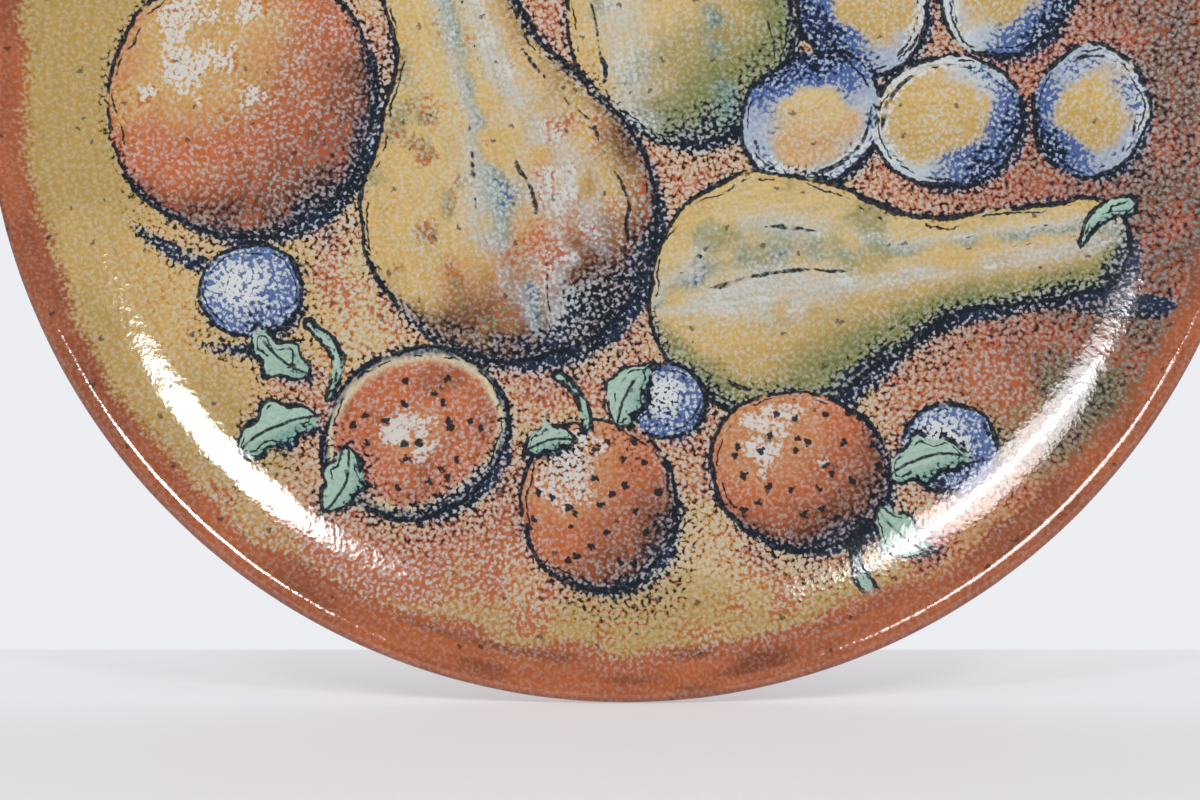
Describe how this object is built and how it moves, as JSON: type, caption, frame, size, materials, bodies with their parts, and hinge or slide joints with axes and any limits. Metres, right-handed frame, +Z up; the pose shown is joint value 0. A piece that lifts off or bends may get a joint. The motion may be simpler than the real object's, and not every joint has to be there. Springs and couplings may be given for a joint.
{
  "type": "decorative wall plate",
  "caption": "Round glazed ceramic wall plate with a shallow painted dish, a rolled lip and a foot ring pierced for a hanging cord.",
  "frame": {"origin": "on the flat back of the foot ring at its top, midway between the two hanging holes, in the wall plane", "axes": "+Z up as the plate hangs, +Y into the wall, so the painted face looks along -Y; +X to the right for someone looking at the painted face"},
  "size_m": [0.4, 0.0369, 0.4],
  "materials": {
    "glazed_ceramic": "glossy clear glaze over a mottled ochre, orange, cream and blue-black fruit painting, with a terracotta brown lip"
  },
  "bodies": {
    "root": {"plate": "glazed_ceramic"}
  },
  "joints": []
}
